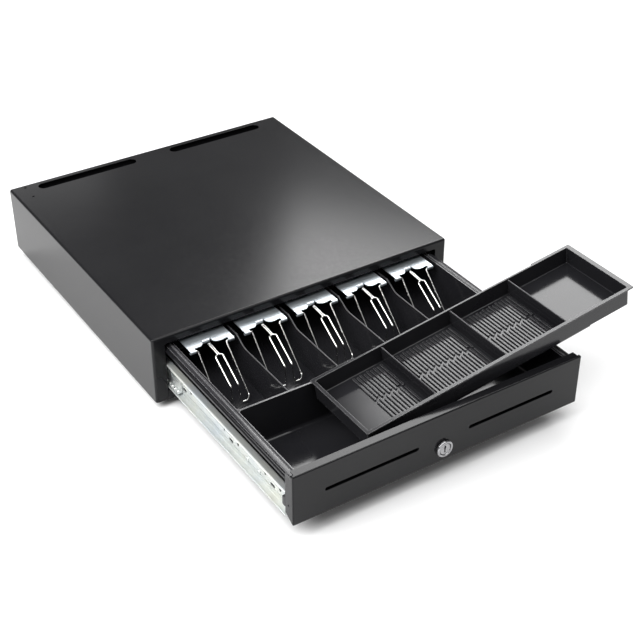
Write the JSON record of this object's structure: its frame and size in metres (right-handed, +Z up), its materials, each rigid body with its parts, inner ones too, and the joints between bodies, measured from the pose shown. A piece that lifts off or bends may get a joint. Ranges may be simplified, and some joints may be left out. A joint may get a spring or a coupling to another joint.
{
  "type": "cash drawer",
  "caption": "Point-of-sale cash drawer: steel cabinet, sliding drawer with bill till and wire clips, lift-out coin tray, key lock and solenoid latch.",
  "frame": {"origin": "on the flat pad pressed into the underside of the base plate, at the middle of the cabinet's footprint; the rubber feet reach 9.5 mm below it", "axes": "+Z up, -Y out of the drawer's front, +X to the right as seen by someone standing at the drawer"},
  "size_m": [0.479, 0.6875, 0.1386],
  "materials": {
    "powder_coated_steel": "black powder coat, satin, with a fine orange-peel texture",
    "zinc_plated_steel": "bright zinc plating, faintly blue, with rolling marks",
    "chromed_steel": "polished chrome",
    "black_plastic": "moulded black ABS, semi-gloss",
    "black_rubber": "matt black rubber",
    "coil_winding": "enamelled copper wire",
    "socket_plastic": "matt black nylon"
  },
  "bodies": {
    "cabinet": {"cabinet_cover": "powder_coated_steel", "base_plate": "powder_coated_steel", "rear_panel": "powder_coated_steel", "foot_front_left": "black_rubber", "foot_front_right": "black_rubber", "foot_rear_left": "black_rubber", "foot_rear_right": "black_rubber", "rail_bracket_left": "zinc_plated_steel", "rail_bracket_right": "zinc_plated_steel", "cabinet_rail_left": "zinc_plated_steel", "cabinet_rail_right": "zinc_plated_steel", "latch_bracket": "zinc_plated_steel", "latch_pin": "chromed_steel", "latch_spring": "chromed_steel", "solenoid_frame": "zinc_plated_steel", "solenoid_coil": "coil_winding", "ejector_housing": "zinc_plated_steel", "connector_socket": "socket_plastic"},
    "drawer": {"drawer_front": "powder_coated_steel", "drawer_pan": "powder_coated_steel", "till_tray": "black_plastic", "striker": "zinc_plated_steel", "lock_housing": "chromed_steel", "lock_nut": "zinc_plated_steel", "drawer_rail_left": "zinc_plated_steel", "drawer_rail_right": "zinc_plated_steel", "bill_divider_1": "black_plastic", "bill_divider_2": "black_plastic", "bill_divider_3": "black_plastic", "bill_divider_4": "black_plastic", "clip_bracket_1": "zinc_plated_steel", "clip_bracket_2": "zinc_plated_steel", "clip_bracket_3": "zinc_plated_steel", "clip_bracket_4": "zinc_plated_steel", "clip_bracket_5": "zinc_plated_steel"},
    "ball_cage_left": {"ball_cage_left": "zinc_plated_steel"},
    "ball_cage_right": {"ball_cage_right": "zinc_plated_steel"},
    "coin_tray": {"coin_tray": "black_plastic", "coin_divider_1": "black_plastic", "coin_divider_2": "black_plastic", "coin_divider_3": "black_plastic"},
    "clip_1": {"clip_wire_1": "chromed_steel"},
    "clip_2": {"clip_wire_2": "chromed_steel"},
    "clip_3": {"clip_wire_3": "chromed_steel"},
    "clip_4": {"clip_wire_4": "chromed_steel"},
    "clip_5": {"clip_wire_5": "chromed_steel"},
    "lock": {"lock_plug": "chromed_steel", "lock_cam": "zinc_plated_steel"},
    "latch": {"latch_lever": "zinc_plated_steel"},
    "plunger": {"solenoid_plunger": "chromed_steel"},
    "ejector": {"ejector_pin": "zinc_plated_steel"}
  },
  "joints": [
    {"name": "drawer_slide", "type": "slide", "parent": "cabinet", "child": "drawer", "axis": [0, -1, 0], "range_m": [-0.2695, 0]},
    {"name": "cage_slide_left", "type": "slide", "parent": "cabinet", "child": "ball_cage_left", "axis": [0, -1, 0], "range_m": [-0.13475, 0]},
    {"name": "cage_slide_right", "type": "slide", "parent": "cabinet", "child": "ball_cage_right", "axis": [0, -1, 0], "range_m": [-0.13475, 0]},
    {"name": "tray_lift", "type": "slide", "parent": "drawer", "child": "coin_tray", "axis": [0, 0, 1], "range_m": [0, 0.0899]},
    {"name": "clip_hinge_1", "type": "hinge", "parent": "drawer", "child": "clip_1", "pos_m": [-0.1408, -0.228, 0.0696], "axis": [-1, 0, 0], "range_deg": [0, 95], "stiffness_Nm_per_rad": 0.02, "springref_deg": -20.05},
    {"name": "clip_hinge_2", "type": "hinge", "parent": "drawer", "child": "clip_2", "pos_m": [-0.0704, -0.228, 0.0696], "axis": [-1, 0, 0], "range_deg": [0, 95], "stiffness_Nm_per_rad": 0.02, "springref_deg": -20.05},
    {"name": "clip_hinge_3", "type": "hinge", "parent": "drawer", "child": "clip_3", "pos_m": [0, -0.228, 0.0696], "axis": [-1, 0, 0], "range_deg": [0, 95], "stiffness_Nm_per_rad": 0.02, "springref_deg": -20.05},
    {"name": "clip_hinge_4", "type": "hinge", "parent": "drawer", "child": "clip_4", "pos_m": [0.0704, -0.228, 0.0696], "axis": [-1, 0, 0], "range_deg": [0, 95], "stiffness_Nm_per_rad": 0.02, "springref_deg": -20.05},
    {"name": "clip_hinge_5", "type": "hinge", "parent": "drawer", "child": "clip_5", "pos_m": [0.1408, -0.228, 0.0696], "axis": [-1, 0, 0], "range_deg": [0, 95], "stiffness_Nm_per_rad": 0.02, "springref_deg": -20.05},
    {"name": "lock_turn", "type": "hinge", "parent": "drawer", "child": "lock", "pos_m": [0, -0.4765, 0.031], "axis": [0, 1, 0], "range_deg": [0, 90]},
    {"name": "latch_pivot", "type": "hinge", "parent": "cabinet", "child": "latch", "pos_m": [0, 0.17, 0.036], "axis": [-1, 0, 0], "range_deg": [0, 8], "stiffness_Nm_per_rad": 0.02, "springref_deg": -17.19},
    {"name": "plunger_slide", "type": "slide", "parent": "cabinet", "child": "plunger", "axis": [0, 0, -1], "range_m": [0, 0.0028]},
    {"name": "ejector_slide", "type": "slide", "parent": "cabinet", "child": "ejector", "axis": [0, 1, 0], "range_m": [0, 0.0201]}
  ],
  "couplings": [
    {"joint": "cage_slide_left", "follows": "drawer_slide", "ratio": 0.5},
    {"joint": "cage_slide_right", "follows": "drawer_slide", "ratio": 0.5},
    {"joint": "tray_lift", "follows": "drawer_slide", "ratio": -0.3333},
    {"joint": "plunger_slide", "follows": "latch_pivot", "m_per_rad": 0.02},
    {"joint": "ejector_slide", "follows": "drawer_slide", "ratio": -0.0742}
  ]
}
